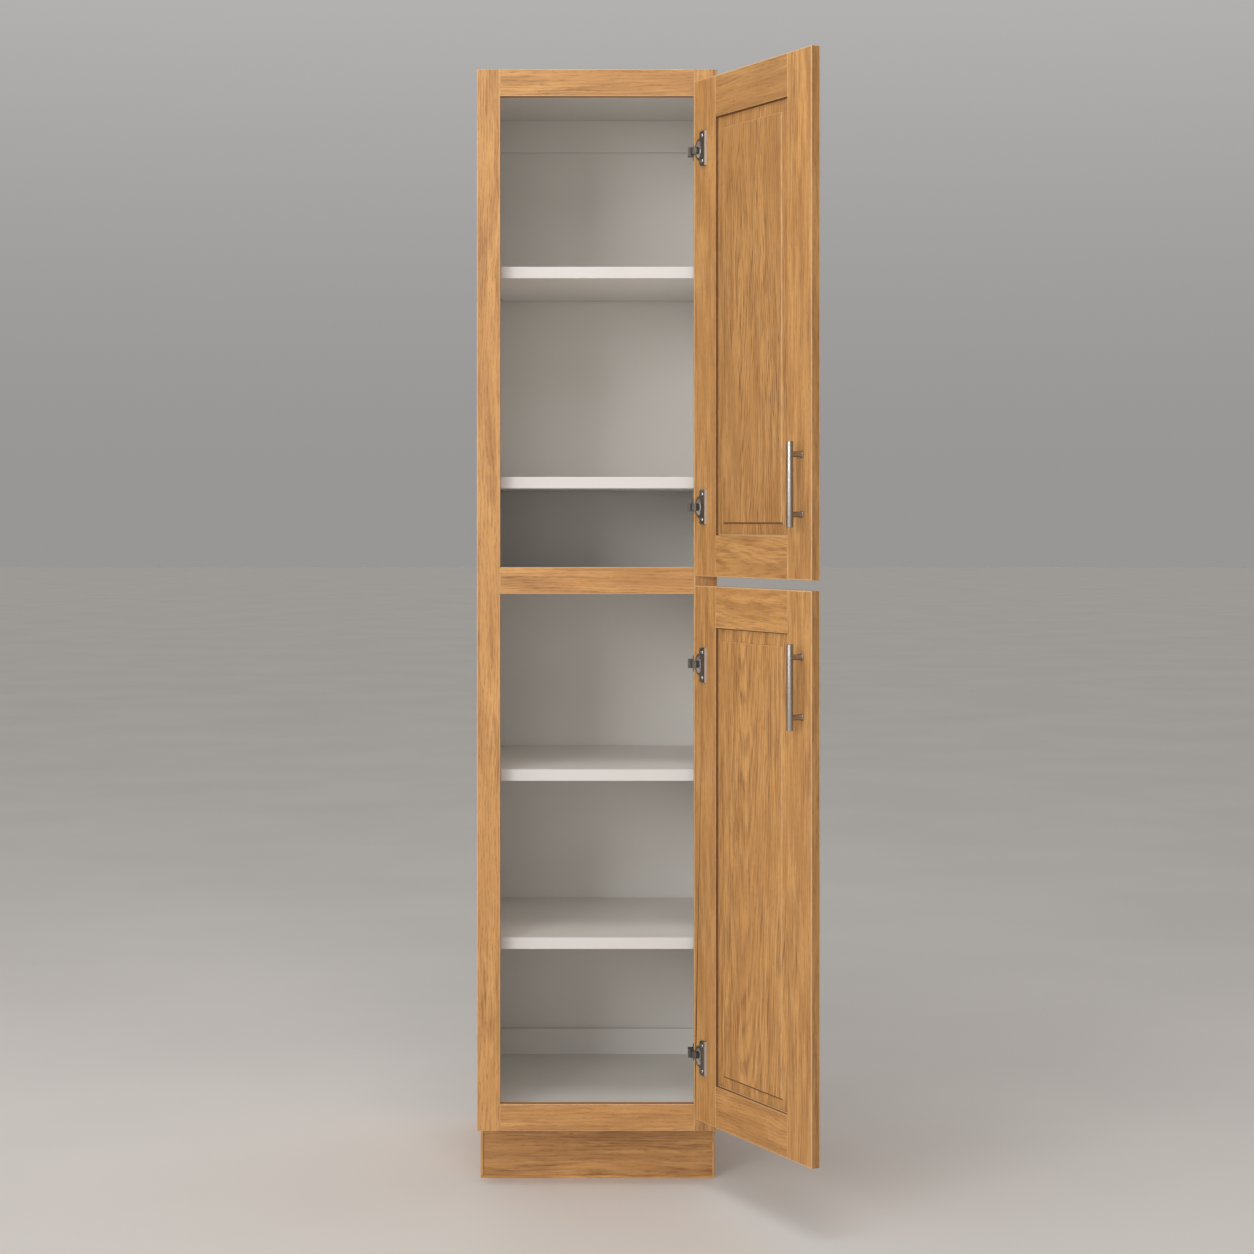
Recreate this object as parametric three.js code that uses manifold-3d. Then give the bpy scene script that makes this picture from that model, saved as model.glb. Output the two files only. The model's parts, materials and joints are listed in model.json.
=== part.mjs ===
// Tall framed pantry cabinet: a 457 x 533 x 2134 mm box on a recessed toe kick, with a solid
// wood face frame, four loose shelves on pins and two frame-and-panel doors hung on concealed
// hinges. Millimetres. +X is the viewer's right, +Y runs from the front to the wall, +Z is up.
// The origin is on the floor, under the middle of the toe kick board. The doors are drawn
// closed about their hinge axis and then turned open.
import * as THREE from 'three';
import { mergeVertices } from 'three/addons/utils/BufferGeometryUtils.js';
import Module from 'manifold-3d';

const wasm = await Module();
wasm.setup();

// ---- driving dimensions ------------------------------------------------------------------
// Heights are above the floor, and depths are behind the front plane of the face frame.
const cabinet = { width: 457.2, depth: 533.4, height: 2133.6 };
const board = 12.7;
const backThickness = 3;
const sideInset = 1.6;
const faceFrame = { thickness: 19, stile: 44.45, rail: 50.8, midRailBottom: 1135.7 };
const toeKick = { height: 114.3, recess: 76.2 };
const bottomPanelTop = 146;
const midDeckTop = 1174;
const hangRail = { thickness: 12, height: 67, lowHeight: 54 };

const shelf = { thickness: 22, front: 39, back: 527, sideGap: 1.5 };
const shelfTops = [1762, 1359, 798, 475.5];
const pin = { radius: 2.9, insert: 9.5, reach: 9, width: 10, drop: 12, plate: 1.5, gap: 0.2 };
const pinHole = { radius: 3.175, depth: 10.5, pitch: 32, below: 6 };
const pinDepths = [78, 486];

const door = { width: 406.4, thickness: 19, rail: 78, reveal: 25.4, gap: 17.5, standOff: 3.5 };
const doorOpenAngle = THREE.MathUtils.degToRad(118.5);
const panel = { tongue: 6, tongueDepth: 7.5, grooveDepth: 8, bevel: 24, rise: 4.3 };
const fit = 0.3;

// The hinge axis is this far in from the door's hinge edge, and this deep in its inner face.
const axisIn = { edge: 7, face: 8.5 };
const cup = { radius: 17.5, wall: 1, depth: 14.2, edgeToCentre: 20.5 };
// The flange's outline is given as distances in from the door's hinge edge.
const flange = { height: 65, thick: 5, thin: 1.2, ring: 20.5, far: 45, lid: 31, wing: 26, near: 11 };
const flangeCorner = 3;
const hingePin = { radius: 1, length: 14.4, hole: 1.25 };
const knuckle = { radius: 1.9, height: 10 };
const lug = { back: -3.5, front: 2, top: 2.2, gap: 0.4 };
const arm = { height: 13, slotGap: 0.7, slotBack: -2, slotBottom: 2.6 };
const armBase = { reach: 11, height: 16.8, earHeight: 30, ear: 1.6, earInset: [3, 17] };
const clearOfWood = 0.05;
const hingeHeights = { upper: { top: 1977, bottom: 1301 }, lower: { top: 1003, bottom: 262 } };

const pull = { radius: 6, length: 152, projection: 31, postRadius: 4.5, postPitch: 106 };
const pullFromEdge = { inner: 30, outer: 50 };
const pullHeights = { upper: 1339, lower: 982 };
const stud = { radius: 2, hole: 2.4, depth: 8, holeDepth: 9 };

// ---- positions worked out from them --------------------------------------------------------
const half = cabinet.width / 2;
const sideOuter = half - sideInset;
const sideInner = sideOuter - board;
const openingHalf = half - faceFrame.stile;
const carcassFront = faceFrame.thickness;
const carcassBack = cabinet.depth - backThickness;
const toeFront = carcassFront + toeKick.recess;
const toeBack = toeFront + board;
const overlay = (door.width - 2 * openingHalf) / 2;
const axisX = openingHalf + overlay - axisIn.edge;
const axisY = -door.standOff - axisIn.face;
const innerFace = axisIn.face;
const outerFace = axisIn.face - door.thickness;
const middle = (innerFace + outerFace) / 2;
const hingeEdge = axisIn.edge;
const freeEdge = axisIn.edge - door.width;
const doorSpans = {
  upper: [faceFrame.midRailBottom + faceFrame.rail / 2 + door.gap / 2, cabinet.height - door.reveal],
  lower: [toeKick.height + door.reveal, faceFrame.midRailBottom + faceFrame.rail / 2 - door.gap / 2],
};

// ---- materials -----------------------------------------------------------------------------
const oak = new THREE.MeshStandardMaterial({ color: 0xc08f55, roughness: 0.5, metalness: 0 });
const whiteBoard = new THREE.MeshStandardMaterial({ color: 0xe9e8e4, roughness: 0.45, metalness: 0 });
const nickel = new THREE.MeshStandardMaterial({ color: 0xb8b4ac, roughness: 0.3, metalness: 1 });
const hingeSteel = new THREE.MeshStandardMaterial({ color: 0x8f8a82, roughness: 0.35, metalness: 1 });

// ---- helpers -------------------------------------------------------------------------------
const box = ([x0, x1], [y0, y1], [z0, z1]) => {
  const geometry = new THREE.BoxGeometry(x1 - x0, y1 - y0, z1 - z0);
  return geometry.translate((x0 + x1) / 2, (y0 + y1) / 2, (z0 + z1) / 2);
};

const rodAlongX = (radius, [x0, x1], y, z, sides) => {
  const geometry = new THREE.CylinderGeometry(radius, radius, x1 - x0, sides);
  return geometry.rotateZ(Math.PI / 2).translate((x0 + x1) / 2, y, z);
};

const rodAlongY = (radius, x, [y0, y1], z, sides) => {
  const geometry = new THREE.CylinderGeometry(radius, radius, y1 - y0, sides);
  return geometry.translate(x, (y0 + y1) / 2, z);
};

const rodAlongZ = (radius, x, y, [z0, z1], sides) => {
  const geometry = new THREE.CylinderGeometry(radius, radius, z1 - z0, sides);
  return geometry.rotateX(Math.PI / 2).translate(x, y, (z0 + z1) / 2);
};

const outline = (points) => new THREE.Shape(points.map(([x, y]) => new THREE.Vector2(x, y)));

// An outline in the horizontal plane, drawn up to a height about z = 0.
const plateAcrossZ = (points, height) => {
  const geometry = new THREE.ExtrudeGeometry(outline(points), { depth: height, bevelEnabled: false });
  return geometry.translate(0, 0, -height / 2);
};

// An outline in the door's own plane (along the door, up), drawn from y0 to y1.
const plateAlongDoor = (points, [y0, y1]) => {
  const geometry = new THREE.ExtrudeGeometry(outline(points), { depth: y1 - y0, bevelEnabled: false });
  return geometry.rotateX(Math.PI / 2).translate(0, y1, 0);
};

const solid = (geometry) => {
  const bare = geometry.clone();
  bare.deleteAttribute('normal');
  bare.deleteAttribute('uv');
  const merged = mergeVertices(bare, 1e-4);
  const vertProperties = new Float32Array(merged.attributes.position.array);
  const triVerts = new Uint32Array(merged.index.array);
  return new wasm.Manifold(new wasm.Mesh({ numProp: 3, vertProperties, triVerts }));
};

const join = (...shapes) => shapes.map(solid).reduce((whole, next) => whole.add(next));

const cut = (whole, ...shapes) => shapes.map(solid).reduce((rest, next) => rest.subtract(next), whole);

const toGeometry = (body) => {
  const { vertProperties, triVerts, numProp } = body.getMesh();
  const corners = new Float32Array((vertProperties.length / numProp) * 3);
  for (let i = 0; i < corners.length / 3; i += 1) {
    corners.set(vertProperties.subarray(i * numProp, i * numProp + 3), i * 3);
  }
  const geometry = new THREE.BufferGeometry();
  geometry.setAttribute('position', new THREE.BufferAttribute(corners, 3));
  geometry.setIndex(new THREE.BufferAttribute(new Uint32Array(triVerts), 1));
  geometry.computeVertexNormals();
  return geometry;
};

const addPart = (group, name, shape, material) => {
  const geometry = shape.isBufferGeometry ? shape : toGeometry(shape);
  const mesh = new THREE.Mesh(geometry, material);
  mesh.name = name;
  group.add(mesh);
};

const pantryCabinet = new THREE.Group();
pantryCabinet.name = 'pantry_cabinet';
pantryCabinet.position.y = -(toeFront + toeBack) / 2;

// ---- carcass -------------------------------------------------------------------------------
// Each side has a notch for the toe kick, and blind holes for the shelf pins.
const pinHeight = (top) => top - shelf.thickness - pinHole.below;

const addSide = (name, side) => {
  const across = [sideInner, sideOuter].map((x) => x * side).sort((a, b) => a - b);
  const wall = solid(box(across, [carcassFront, carcassBack], [0, cabinet.height]));
  const cuts = [box([-half, half], [0, toeBack], [-1, toeKick.height])];
  for (const top of shelfTops) {
    for (const y of pinDepths) {
      for (const row of [-1, 0, 1]) {
        const z = pinHeight(top) + row * pinHole.pitch;
        const depths = [sideInner - 1, sideInner + pinHole.depth];
        const mouth = depths.map((x) => x * side).sort((a, b) => a - b);
        cuts.push(rodAlongX(pinHole.radius, mouth, y, z, 8));
      }
    }
  }
  addPart(pantryCabinet, name, cut(wall, ...cuts), oak);
};

const addCarcass = () => {
  addSide('side_panel_left', -1);
  addSide('side_panel_right', 1);
  const across = [-sideInner, sideInner];
  const decks = { top_panel: cabinet.height, mid_deck: midDeckTop, bottom_panel: bottomPanelTop };
  for (const [name, top] of Object.entries(decks)) {
    addPart(pantryCabinet, name, box(across, [carcassFront, carcassBack], [top - board, top]), whiteBoard);
  }
  const whole = [-sideOuter, sideOuter];
  const back = box(whole, [carcassBack, cabinet.depth], [toeKick.height, cabinet.height]);
  addPart(pantryCabinet, 'back_panel', back, whiteBoard);
  const railDepths = [carcassBack - hangRail.thickness, carcassBack];
  const highRail = [cabinet.height - board - hangRail.height, cabinet.height - board];
  const lowRail = [bottomPanelTop, bottomPanelTop + hangRail.lowHeight];
  addPart(pantryCabinet, 'hang_rail_top', box(across, railDepths, highRail), whiteBoard);
  addPart(pantryCabinet, 'hang_rail_bottom', box(across, railDepths, lowRail), whiteBoard);
  addPart(pantryCabinet, 'toe_kick', box(whole, [toeFront, toeBack], [0, toeKick.height]), oak);
};

// ---- face frame ----------------------------------------------------------------------------
const addFaceFrame = () => {
  const depths = [0, faceFrame.thickness];
  const fullHeight = [toeKick.height, cabinet.height];
  addPart(pantryCabinet, 'frame_stile_left', box([-half, -openingHalf], depths, fullHeight), oak);
  addPart(pantryCabinet, 'frame_stile_right', box([openingHalf, half], depths, fullHeight), oak);
  const railBottoms = {
    frame_rail_top: cabinet.height - faceFrame.rail,
    frame_rail_mid: faceFrame.midRailBottom,
    frame_rail_bottom: toeKick.height,
  };
  for (const [name, z] of Object.entries(railBottoms)) {
    addPart(pantryCabinet, name, box([-openingHalf, openingHalf], depths, [z, z + faceFrame.rail]), oak);
  }
};

// ---- shelves and their pins ----------------------------------------------------------------
// A pin is a round peg in the side panel, a bracket face down the panel and a lip under the shelf.
const shelfPin = (side, y, underside) => {
  const z = underside - pinHole.below;
  const order = (a, b) => [a * side, b * side].sort((p, q) => p - q);
  const peg = rodAlongX(pin.radius, order(sideInner - pin.plate / 2, sideInner + pin.insert), y, z, 8);
  const along = [y - pin.width / 2, y + pin.width / 2];
  const top = underside - pin.gap;
  const face = box(order(sideInner - pin.plate, sideInner), along, [top - pin.drop, top]);
  const lip = box(order(sideInner - pin.reach, sideInner), along, [top - pin.plate, top]);
  return join(face, lip, peg);
};

const addShelves = () => {
  const reach = sideInner - shelf.sideGap;
  shelfTops.forEach((top, index) => {
    const underside = top - shelf.thickness;
    const name = `shelf_${index + 1}`;
    const body = box([-reach, reach], [shelf.front, shelf.back], [underside, top]);
    addPart(pantryCabinet, name, body, whiteBoard);
    for (const [sideName, side] of [['left', -1], ['right', 1]]) {
      for (const [place, y] of [['front', pinDepths[0]], ['rear', pinDepths[1]]]) {
        addPart(pantryCabinet, `${name}_pin_${place}_${sideName}`, shelfPin(side, y, underside), nickel);
      }
    }
  });
};

// ---- doors ---------------------------------------------------------------------------------
// A door's own frame has its hinge axis at x = 0, y = 0, with z still above the floor.
const grooveDepths = [middle - panel.tongue / 2 - fit, middle + panel.tongue / 2 + fit];
const tongueDepths = [middle - panel.tongue / 2, middle + panel.tongue / 2];
const faces = [outerFace, innerFace];
const hingeStileInner = hingeEdge - door.rail;
const pullStileInner = freeEdge + door.rail;

// The hinge stile is bored for two cups.
const hingeStile = ([bottom, top], cupHeights) => {
  const stile = solid(box([hingeStileInner, hingeEdge], faces, [bottom, top]));
  const grooveAcross = [hingeStileInner - 1, hingeStileInner + panel.grooveDepth];
  const groove = box(grooveAcross, grooveDepths, [bottom - 1, top + 1]);
  const cupX = hingeEdge - cup.edgeToCentre;
  const bores = cupHeights.map((z) =>
    rodAlongY(cup.radius + fit, cupX, [innerFace - cup.depth - fit, innerFace + 1], z, 32));
  return cut(stile, groove, ...bores);
};

// The pull stile is drilled from each face for that face's pull, with blind holes for its studs.
const pullStile = ([bottom, top], pullZ) => {
  const stile = solid(box([freeEdge, pullStileInner], faces, [bottom, top]));
  const grooveAcross = [pullStileInner - panel.grooveDepth, pullStileInner + 1];
  const groove = box(grooveAcross, grooveDepths, [bottom - 1, top + 1]);
  const drillings = {
    inner: [innerFace - stud.holeDepth, innerFace + 1],
    outer: [outerFace - 1, outerFace + stud.holeDepth],
  };
  const holes = Object.entries(drillings).flatMap(([side, depths]) =>
    [-1, 1].map((end) => {
      const z = pullZ + (end * pull.postPitch) / 2;
      return rodAlongY(stud.hole, freeEdge + pullFromEdge[side], depths, z, 12);
    }));
  return cut(stile, groove, ...holes);
};

// A rail fits between the stiles with a stub tenon in each, and is grooved for the panel.
const doorRail = ([bottom, top], panelSide) => {
  const across = [pullStileInner + fit, hingeStileInner - fit];
  const tenons = [pullStileInner - panel.tongueDepth, hingeStileInner + panel.tongueDepth];
  const rail = join(box(across, faces, [bottom, top]), box(tenons, tongueDepths, [bottom, top]));
  const groove = panelSide > 0
    ? [top - panel.grooveDepth, top + 1]
    : [bottom - 1, bottom + panel.grooveDepth];
  return cut(rail, box([freeEdge, hingeEdge], grooveDepths, groove));
};

// The panel has a thin tongue all round, and a raised field with a wide slope on both faces.
const raisedPanel = ([bottom, top]) => {
  const shown = { x0: pullStileInner + fit, x1: hingeStileInner - fit, z0: bottom + fit, z1: top - fit };
  const lap = panel.tongueDepth;
  const tongue = box([shown.x0 - lap, shown.x1 + lap], tongueDepths, [shown.z0 - lap, shown.z1 + lap]);
  const inset = panel.bevel;
  const field = outline([
    [shown.x0 + inset, shown.z0 + inset],
    [shown.x1 - inset, shown.z0 + inset],
    [shown.x1 - inset, shown.z1 - inset],
    [shown.x0 + inset, shown.z1 - inset],
  ]);
  const slopes = { bevelThickness: panel.rise, bevelSize: panel.bevel, bevelSegments: 1 };
  const raised = new THREE.ExtrudeGeometry(field, { depth: panel.tongue, ...slopes });
  raised.rotateX(Math.PI / 2).translate(0, middle + panel.tongue / 2, 0);
  return join(tongue, raised);
};

// ---- hinges --------------------------------------------------------------------------------
// The cup body rides on the door: a bored cup, a flange with a thick far edge, and two lugs for
// the hinge pin.
const flangePlate = (z) => {
  const high = flange.height / 2;
  const wingFoot = knuckle.height + 6;
  const shoulder = flange.lid - flange.wing;
  const upperHalf = [
    [flange.far, high],
    [flange.wing + flangeCorner, high],
    [flange.wing, high - flangeCorner],
    [flange.wing, wingFoot],
    [flange.lid, wingFoot - shoulder],
  ];
  const lowerHalf = upperHalf.map(([s, height]) => [s, -height]).reverse();
  const points = [...upperHalf, ...lowerHalf].map(([s, height]) => [hingeEdge - s, z + height]);
  return plateAlongDoor(points, [innerFace + clearOfWood, innerFace + flange.thick]);
};

const hingeCup = (z) => {
  const cupX = hingeEdge - cup.edgeToCentre;
  const mouth = cup.radius - cup.wall;
  const high = flange.height / 2;
  const cupBottom = innerFace - cup.depth;
  const shell = rodAlongY(cup.radius, cupX, [cupBottom, innerFace + clearOfWood], z, 32);
  const ring = rodAlongY(flange.ring, cupX, [innerFace, innerFace + flange.thin], z, 32);
  const proud = [innerFace + clearOfWood, innerFace + cup.depth];
  const nearSide = box([hingeEdge - flange.near, hingeEdge], proud, [z - high, z + high]);
  const hollow = rodAlongY(mouth, cupX, [cupBottom + cup.wall, innerFace + flange.thin + 1], z, 32);
  const lugs = [1, -1].map((end) => {
    const near = z + end * (knuckle.height / 2 + lug.gap);
    const far = z + (end * hingePin.length) / 2;
    const heights = [near, far].sort((p, q) => p - q);
    return box([lug.back, lug.front], [cupBottom + cup.wall / 2, lug.top], heights);
  });
  const bore = rodAlongZ(hingePin.hole, 0, 0, [z - cup.radius, z + cup.radius], 12);
  const slotHalf = arm.height / 2 + arm.slotGap;
  const slotDepths = [arm.slotBottom, innerFace + 1];
  const armSlot = box([arm.slotBack, hingeEdge], slotDepths, [z - slotHalf, z + slotHalf]);
  const cupBody = cut(cut(join(shell, ring), nearSide), hollow, armSlot);
  const withLugs = cupBody.add(join(flangePlate(z))).add(join(...lugs));
  return cut(withLugs, bore);
};

// The arm stays on the cabinet: a finger from the pin, round the corner of the open door, to a
// block on the edge of the face frame. Its outline is drawn about the hinge axis.
const hingeArm = (z) => {
  const frameEdge = openingHalf - axisX;
  const frontPlane = -axisY;
  const fingerPoints = [[-0.48, 0.88], [-9.05, -2.41], [-9.3, -3.6], [-8.45, -4.15], [0.38, -0.7]];
  const finger = plateAcrossZ(fingerPoints, knuckle.height);
  const crookPoints = [
    [-8.1, -2.05], [-9.05, -2.41], [-11.62, 2.34], [-12.6, 5], [-12.6, frontPlane + 2],
    [-18.5, frontPlane + 2], [-18.5, 3], [-15, -1], [-10.9, -3.9], [-8.45, -4.15], [-8.1, -4],
  ];
  const crook = plateAcrossZ(crookPoints, arm.height);
  const eye = rodAlongZ(knuckle.radius, 0, 0, [-knuckle.height / 2, knuckle.height / 2], 12);
  const blockDepths = [frontPlane + 0.5, frontPlane + faceFrame.thickness];
  const blockHeights = [-armBase.height / 2, armBase.height / 2];
  const block = box([frameEdge - armBase.reach, frameEdge], blockDepths, blockHeights);
  const earDepths = armBase.earInset.map((depth) => frontPlane + depth);
  const earHeights = [-armBase.earHeight / 2, armBase.earHeight / 2];
  const ear = box([frameEdge - armBase.ear, frameEdge], earDepths, earHeights);
  const bore = rodAlongZ(hingePin.hole, 0, 0, [-knuckle.height, knuckle.height], 12);
  return cut(join(finger, crook, eye, block, ear), bore).translate([axisX, axisY, z]);
};

const addHinge = (doorGroup, label, z) => {
  addPart(doorGroup, `hinge_cup_${label}`, hingeCup(z), hingeSteel);
  addPart(pantryCabinet, `hinge_arm_${label}`, hingeArm(z), nickel);
  const ends = [z - hingePin.length / 2, z + hingePin.length / 2];
  addPart(pantryCabinet, `hinge_pin_${label}`, rodAlongZ(hingePin.radius, axisX, axisY, ends, 12), nickel);
};

// ---- pulls ---------------------------------------------------------------------------------
// A bar on two posts stands on each face of a door, and its studs go a little way into the wood.
const barPull = (side, z) => {
  const outward = side === 'inner' ? 1 : -1;
  const face = side === 'inner' ? innerFace : outerFace;
  const x = freeEdge + pullFromEdge[side];
  const barY = face + outward * (pull.projection - pull.radius);
  const shapes = [rodAlongZ(pull.radius, x, barY, [z - pull.length / 2, z + pull.length / 2], 20)];
  for (const end of [-1, 1]) {
    const postZ = z + (end * pull.postPitch) / 2;
    const post = [face + outward * fit, barY].sort((p, q) => p - q);
    const studDepths = [face - outward * stud.depth, face + outward].sort((p, q) => p - q);
    shapes.push(rodAlongY(pull.postRadius, x, post, postZ, 16));
    shapes.push(rodAlongY(stud.radius, x, studDepths, postZ, 12));
  }
  return join(...shapes);
};

const addDoor = (which) => {
  const [bottom, top] = doorSpans[which];
  const swing = new THREE.Group();
  swing.position.set(axisX, axisY, 0);
  swing.rotation.z = doorOpenAngle;
  pantryCabinet.add(swing);
  const name = `${which}_door`;
  const hinges = hingeHeights[which];
  addPart(swing, `${name}_hinge_stile`, hingeStile([bottom, top], Object.values(hinges)), oak);
  addPart(swing, `${name}_pull_stile`, pullStile([bottom, top], pullHeights[which]), oak);
  addPart(swing, `${name}_top_rail`, doorRail([top - door.rail, top], -1), oak);
  addPart(swing, `${name}_bottom_rail`, doorRail([bottom, bottom + door.rail], 1), oak);
  addPart(swing, `${name}_panel`, raisedPanel([bottom + door.rail, top - door.rail]), oak);
  for (const [place, z] of Object.entries(hinges)) {
    addHinge(swing, `${which}_${place}`, z);
  }
  for (const side of ['inner', 'outer']) {
    addPart(swing, `pull_${which}_${side}`, barPull(side, pullHeights[which]), nickel);
  }
};

addCarcass();
addFaceFrame();
addShelves();
addDoor('upper');
addDoor('lower');

export default pantryCabinet;
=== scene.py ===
"""The looks of a tall oak pantry cabinet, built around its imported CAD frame.

Lengths are in metres. Each board is its CAD solid with eased edges and its own oak or white face.
The raised panels and the bar pulls are finer meshes than their CAD solids, and the small screws
and trim are added here. A door's own axes have its hinge axis at x = 0, y = 0 with the door shut.
"""
import json
import math
import random

import bmesh
import bpy
from mathutils import Matrix, Vector

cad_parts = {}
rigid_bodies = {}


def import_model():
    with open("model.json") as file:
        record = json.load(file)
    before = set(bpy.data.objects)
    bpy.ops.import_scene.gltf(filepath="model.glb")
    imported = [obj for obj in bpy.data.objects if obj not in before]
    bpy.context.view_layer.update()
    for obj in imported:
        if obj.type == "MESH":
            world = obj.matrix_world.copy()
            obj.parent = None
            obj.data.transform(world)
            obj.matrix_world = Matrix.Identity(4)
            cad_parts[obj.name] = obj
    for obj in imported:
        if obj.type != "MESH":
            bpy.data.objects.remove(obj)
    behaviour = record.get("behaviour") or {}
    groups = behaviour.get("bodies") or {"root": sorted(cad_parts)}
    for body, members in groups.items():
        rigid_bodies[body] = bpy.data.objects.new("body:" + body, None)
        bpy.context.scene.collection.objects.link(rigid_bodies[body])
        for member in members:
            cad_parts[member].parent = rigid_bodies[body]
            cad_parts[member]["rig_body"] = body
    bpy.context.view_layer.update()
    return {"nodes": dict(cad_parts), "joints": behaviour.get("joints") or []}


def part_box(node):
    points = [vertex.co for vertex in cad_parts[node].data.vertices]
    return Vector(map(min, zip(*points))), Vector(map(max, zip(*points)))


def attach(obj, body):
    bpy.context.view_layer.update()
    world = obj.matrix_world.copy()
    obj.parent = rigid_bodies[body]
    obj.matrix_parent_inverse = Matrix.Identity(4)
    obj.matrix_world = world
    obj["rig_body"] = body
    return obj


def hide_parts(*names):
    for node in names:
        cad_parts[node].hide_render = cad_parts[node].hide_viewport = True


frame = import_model()

MM = 0.001
X, Y, Z = Vector((1, 0, 0)), Vector((0, 1, 0)), Vector((0, 0, 1))
rng = random.Random(7)
nodes = frame["nodes"]

# ---- camera and stage ------------------------------------------------------------------------
CAMERA_BACK = 4.611        # in front of the face frame
CAMERA_RIGHT = 0.057
EYE_HEIGHT = 1.277
LENS = 69.6
SHIFT_Y = -0.0856
FAR = 100.0                # the camera's limit of view
STAGE_HALF = 60.0
FLOOR_COLOUR = (0.80, 0.765, 0.73)
SKY = 0.40                 # brightness of the world overhead, and its share at the horizon
HORIZON = 0.78

# ---- how far sharp edges are rounded ---------------------------------------------------------
DOOR_ROUND = 2.0 * MM      # outer edges of the doors, and the share of it through their thickness
DOOR_CORNER_SHARE = 0.3
PANEL_SIDE_ROUND = 0.8 * MM
JOINT_ROUND = 0.4 * MM
FRAME_ROUND = 1.3 * MM     # long edges of the face frame, and the share of it at the joints
FRAME_JOINT_SHARE = 0.4
BOARD_ROUND = 0.6 * MM
METAL_ROUND = 0.35 * MM
ROUND_SEGMENTS = 3
FLAT_ANGLE = math.radians(1)         # faces that turn less than this are one face
SHARP_ANGLE = math.radians(30)       # edges that turn more than this are eased
METAL_SHARP_ANGLE = math.radians(32)
SQUARE_ON = 0.9            # a direction's share along an axis when it counts as running along it
FRAME_LONG_EDGE = 200.0 * MM
SIDE_LONG_EDGE = 50.0 * MM # shorter edges of a side panel are those of its pin holes
WELD = 0.01 * MM           # points closer than this are one point
NEAR = 0.05 * MM           # how close a point lies to the line or face that it is on

# ---- raised panels ---------------------------------------------------------------------------
PANEL_TONGUE = 3.0 * MM    # half the thickness of the tongue
PANEL_SLOPE = 24.0 * MM
PANEL_LIP = 2.4 * MM       # the square step between the slope and the raised field
PANEL_LIP_ROUND = 0.5 * MM # that step's upper edge
PANEL_RIM = 2.0 * MM       # the outermost strip of the slope, with a painted highlight, and painted shade under the top rail
PANEL_RIM_RISE = 0.25 * MM
PANEL_SHADE = 3.0 * MM     # the strip of slope below the field's bottom step, painted darker as the field's shadow

# ---- pulls and screws ------------------------------------------------------------------------
POST_RADIUS = 5.2 * MM
POST_PITCH = 106.0 * MM
POST_FLARE = 1.0 * MM
BAR_CHAMFER = 0.7 * MM
BAR_SIDES = 48
POST_SIDES = 32
SCREW_HEAD = (3.7 * MM, 1.6 * MM)   # radius and height
SCREW_SLOT = 0.9 * MM
SCREW_FROM_EDGE = 36.0 * MM
SCREW_SPACING = 48.0 * MM
SCREW_SIDES = 32
SCREW_SINK = 0.1 * MM
WELL_FROM_EDGE = 20.5 * MM # middle of a hinge cup's well, in from the door's hinge edge
WELL_RADIUS = 17.6 * MM
WELL_DEPTH = 0.5 * MM      # faces deeper than this belong to the well
ARM_PALE = 10.0 * MM       # how far from its pin a hinge arm is pale
TRIM = (5.0 * MM, 2.4 * MM)         # width and thickness of the toe kick's strips
TRIM_ROUND = 0.7 * MM


# ==== node graphs =============================================================================
class Graph:
    """The node tree of a material or world. Each input takes a constant or another node's output."""

    def __init__(self, owner):
        owner.use_nodes = True
        self.owner = owner
        self.tree = owner.node_tree
        self.tree.nodes.clear()

    def put(self, socket, value):
        if isinstance(value, bpy.types.NodeSocket):
            self.tree.links.new(value, socket)
        elif value is not None:
            socket.default_value = value

    def node(self, kind, inputs=None, **settings):
        made = self.tree.nodes.new("ShaderNode" + kind)
        for key, value in settings.items():
            setattr(made, key, value)
        for key, value in (inputs or {}).items():
            self.put(made.inputs[key], value)
        return made

    def math(self, operation, *values, clamp=False):
        made = self.node("Math", operation=operation, use_clamp=clamp)
        for socket, value in zip(made.inputs, values):
            self.put(socket, value)
        return made.outputs[0]

    def dot(self, a, b):
        return self.node("VectorMath", {0: a, 1: tuple(b)}, operation="DOT_PRODUCT").outputs["Value"]

    def scaled(self, vector, factors):
        return self.node("VectorMath", {0: vector, 1: tuple(factors)}, operation="MULTIPLY").outputs[0]

    def combine(self, x, y, z):
        return self.node("CombineXYZ", {"X": x, "Y": y, "Z": z}).outputs[0]

    def noise(self, vector, detail=2.0, roughness=0.5):
        inputs = {"Vector": vector, "Scale": 1.0, "Detail": detail, "Roughness": roughness}
        return self.node("TexNoise", inputs).outputs["Fac"]

    def span(self, value, low, high, to_low=0.0, to_high=1.0):
        inputs = {"Value": value, "From Min": low, "From Max": high, "To Min": to_low, "To Max": to_high}
        return self.node("MapRange", inputs, interpolation_type="SMOOTHSTEP").outputs[0]

    def blend(self, factor, a, b, mode="MIX"):
        made = self.node("Mix", data_type="RGBA", blend_type=mode)
        self.put(made.inputs["Factor"], factor)
        for socket, value in zip([s for s in made.inputs if s.type == "RGBA"], (a, b)):
            self.put(socket, (*value, 1.0) if isinstance(value, tuple) else value)
        return next(s for s in made.outputs if s.type == "RGBA")

    def bump(self, height, distance, strength):
        return self.node("Bump", {"Height": height, "Distance": distance, "Strength": strength}).outputs[0]

    def finish(self, **inputs):
        shader = self.node("BsdfPrincipled")
        for key, value in inputs.items():
            value = (*value, 1.0) if isinstance(value, tuple) else value
            self.put(shader.inputs[key.replace("_", " ")], value)
        self.tree.links.new(shader.outputs[0], self.node("OutputMaterial").inputs[0])
        return self.owner


def material_graph(name):
    return Graph(bpy.data.materials.new(name))


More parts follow.
